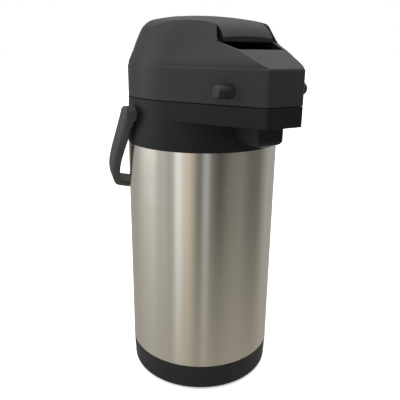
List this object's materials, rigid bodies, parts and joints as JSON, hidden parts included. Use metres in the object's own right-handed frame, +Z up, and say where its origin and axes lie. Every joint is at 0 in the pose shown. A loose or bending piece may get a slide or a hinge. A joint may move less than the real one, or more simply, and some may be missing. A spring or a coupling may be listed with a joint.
{
  "type": "thermal coffee airpot",
  "caption": "Stainless steel vacuum airpot with a black pump-action lid, beak-shaped spout and a swinging carrying handle.",
  "frame": {"origin": "on the flask's axis, at the surface it stands on", "axes": "+Z up; the spout points along -Y and the lid hinge is towards +Y; +X is on the right when looking along +Y, at the spout"},
  "size_m": [0.1774, 0.2185, 0.3766],
  "materials": {
    "casing_steel": "horizontally brushed satin stainless",
    "liner_steel": "satin stainless",
    "shoulder_plastic": "fine-grained black",
    "lid_plastic": "fine-grained charcoal black",
    "bail_plastic": "fine-grained black",
    "knob_plastic": "satin black",
    "base_plastic": "fine-grained black",
    "inner_plastic": "moulded dark grey",
    "pipe_plastic": "moulded grey",
    "foot_rubber": "matte black rubber",
    "bellows_rubber": "soft black rubber",
    "seal_silicone": "translucent grey silicone",
    "spring_wire": "bright spring wire",
    "pin_steel": "bright turned steel",
    "screw_steel": "zinc-plated"
  },
  "bodies": {
    "pot": {"outer_shell": "casing_steel", "shell_top": "liner_steel", "inner_flask": "liner_steel", "inner_bottom": "liner_steel", "inner_neck": "liner_steel", "vacuum_bottom": "liner_steel", "dip_tube": "liner_steel", "base_ring": "base_plastic", "base_plate": "base_plastic", "base_screws": "screw_steel", "base_foot": "foot_rubber", "shoulder": "shoulder_plastic", "mouth_ring": "inner_plastic", "neck_gasket": "seal_silicone", "tube_elbow": "pipe_plastic", "pipe_seal": "seal_silicone", "spout_pipe": "pipe_plastic", "spout_nozzle": "pipe_plastic", "hinge_pin": "pin_steel", "bail_pins": "pin_steel"},
    "lid": {"lid_cover": "lid_plastic", "lid_base": "inner_plastic", "lid_screws": "screw_steel", "lid_gasket": "seal_silicone", "air_valve": "seal_silicone", "bellows": "bellows_rubber", "bellows_spring": "spring_wire", "bellows_foot": "inner_plastic", "plate_pin": "pin_steel", "latch_springs": "spring_wire", "spring_post": "inner_plastic"},
    "press_plate": {"press_plate": "lid_plastic"},
    "bellows_top": {"bellows_cap": "inner_plastic"},
    "latch_right": {"release_knob_right": "knob_plastic", "latch_hook_right": "inner_plastic"},
    "latch_left": {"release_knob_left": "knob_plastic", "latch_hook_left": "inner_plastic"},
    "bail": {"bail_handle": "bail_plastic"},
    "spill_ball": {"spill_ball": "pin_steel"}
  },
  "joints": [
    {"name": "lid_hinge", "type": "hinge", "parent": "pot", "child": "lid", "pos_m": [0, 0.0802, 0.301], "axis": [-1, 0, 0], "range_deg": [0, 95]},
    {"name": "press_plate_hinge", "type": "hinge", "parent": "lid", "child": "press_plate", "pos_m": [0, 0.0488, 0.364], "axis": [1, 0, 0], "range_deg": [0, 9], "stiffness_Nm_per_rad": 3, "springref_deg": -17.19},
    {"name": "bellows_stroke", "type": "slide", "parent": "lid", "child": "bellows_top", "axis": [0, 0, -1], "range_m": [0, 0.0095], "deforming": ["bellows", "bellows_spring"]},
    {"name": "right_knob_press", "type": "slide", "parent": "lid", "child": "latch_right", "axis": [-1, 0, 0], "range_m": [0, 0.005], "stiffness_N_per_m": 300, "springref_m": -0.004, "deforming": ["latch_springs"]},
    {"name": "left_knob_press", "type": "slide", "parent": "lid", "child": "latch_left", "axis": [1, 0, 0], "range_m": [0, 0.005], "stiffness_N_per_m": 300, "springref_m": -0.004},
    {"name": "bail_swing", "type": "hinge", "parent": "pot", "child": "bail", "pos_m": [0, 0, 0.286], "axis": [1, 0, 0], "range_deg": [0, 185]},
    {"name": "spill_ball_float", "type": "slide", "parent": "pot", "child": "spill_ball", "axis": [0, 0, 1], "range_m": [0, 0.004]}
  ],
  "couplings": [
    {"joint": "bellows_stroke", "follows": "press_plate_hinge", "m_per_rad": 0.0592}
  ]
}
